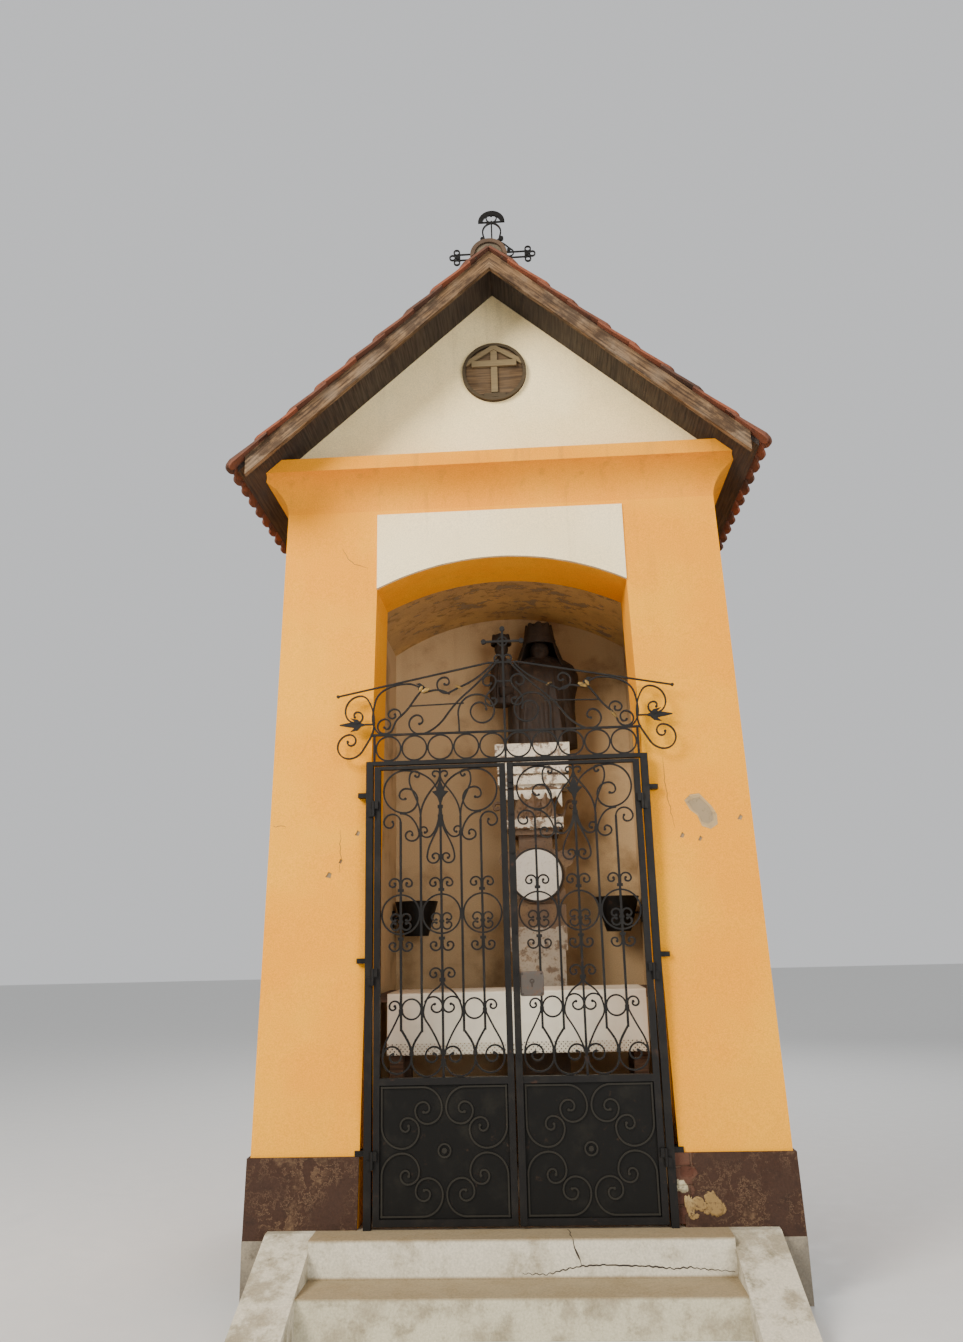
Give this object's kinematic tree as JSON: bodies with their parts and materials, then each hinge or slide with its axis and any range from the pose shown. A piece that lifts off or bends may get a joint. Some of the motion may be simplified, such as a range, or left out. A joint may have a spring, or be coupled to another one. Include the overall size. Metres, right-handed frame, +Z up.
{
  "type": "wayside shrine",
  "caption": "Small rendered masonry wayside shrine with an arched niche, coved cornice, tiled gable roof and a pair of wrought-iron gates with a scrolled crest.",
  "frame": {"origin": "centre of the walls in plan, on the ground at the foot of the steps", "axes": "+Z up, -Y out through the gates towards the viewer, +X to the viewer's right"},
  "size_m": [2.8234, 2.813, 6.0094],
  "materials": {
    "yellow_render": "float-finished lime render painted ochre yellow, weathered",
    "cream_render": "smooth lime render painted cream, weathered",
    "white_render": "smooth render painted white",
    "dark_plinth": "hard render painted dark red-brown, flaking",
    "raw_concrete": "rough concrete",
    "pale_concrete": "cast concrete with worn white paint",
    "floor_screed": "trowelled screed, dusty",
    "roof_tile": "fired clay, weathered",
    "dark_boards": "old boards stained dark",
    "grey_wood": "weathered softwood, grey-brown",
    "brown_wood": "weathered hardwood",
    "altar_wood": "dark stained wood",
    "wrought_iron": "wrought iron with worn black paint",
    "sheet_iron": "sheet iron with worn black paint",
    "white_cloth": "woven cotton with a lace border",
    "pedestal_stone": "carved stone, darkened",
    "tablet_stone": "painted white stone",
    "figure_stone": "carved stone, darkened with age",
    "planter_iron": "black painted iron"
  },
  "bodies": {
    "shrine": {"foundation": "raw_concrete", "floor_slab": "floor_screed", "upper_step": "pale_concrete", "lower_step": "pale_concrete", "left_cheek": "pale_concrete", "right_cheek": "pale_concrete", "left_pillar": "yellow_render", "right_pillar": "yellow_render", "arch_head": "yellow_render", "left_wall": "yellow_render", "right_wall": "yellow_render", "back_wall": "yellow_render", "vault": "cream_render", "plinth": "dark_plinth", "arch_panel": "white_render", "front_cornice": "yellow_render", "back_cornice": "yellow_render", "left_cornice": "yellow_render", "right_cornice": "yellow_render", "front_gable": "cream_render", "back_gable": "cream_render", "left_boards": "dark_boards", "right_boards": "dark_boards", "left_tiles": "roof_tile", "right_tiles": "roof_tile", "ridge_tiles": "roof_tile", "front_bargeboards": "grey_wood", "back_bargeboards": "grey_wood", "ridge_cross": "wrought_iron", "medallion": "brown_wood", "gate_posts": "wrought_iron", "gate_lintel": "wrought_iron", "hinge_pins": "wrought_iron", "gate_crest": "wrought_iron", "altar_table": "altar_wood", "altar_cloth": "white_cloth", "pedestal": "pedestal_stone", "tablet": "tablet_stone", "figure": "figure_stone", "left_planter": "planter_iron", "right_planter": "planter_iron"},
    "left_leaf": {"left_leaf_frame": "wrought_iron", "left_leaf_ironwork": "wrought_iron", "left_leaf_sheet": "sheet_iron"},
    "right_leaf": {"right_leaf_frame": "wrought_iron", "right_leaf_ironwork": "wrought_iron", "right_leaf_sheet": "sheet_iron", "centre_strip": "wrought_iron"}
  },
  "joints": [
    {"name": "left_leaf_hinge", "type": "hinge", "parent": "shrine", "child": "left_leaf", "pos_m": [-0.666, -0.938, 0.31], "axis": [0, 0, -1], "range_deg": [0, 100]},
    {"name": "right_leaf_hinge", "type": "hinge", "parent": "shrine", "child": "right_leaf", "pos_m": [0.666, -0.938, 0.31], "axis": [0, 0, 1], "range_deg": [0, 100]}
  ]
}
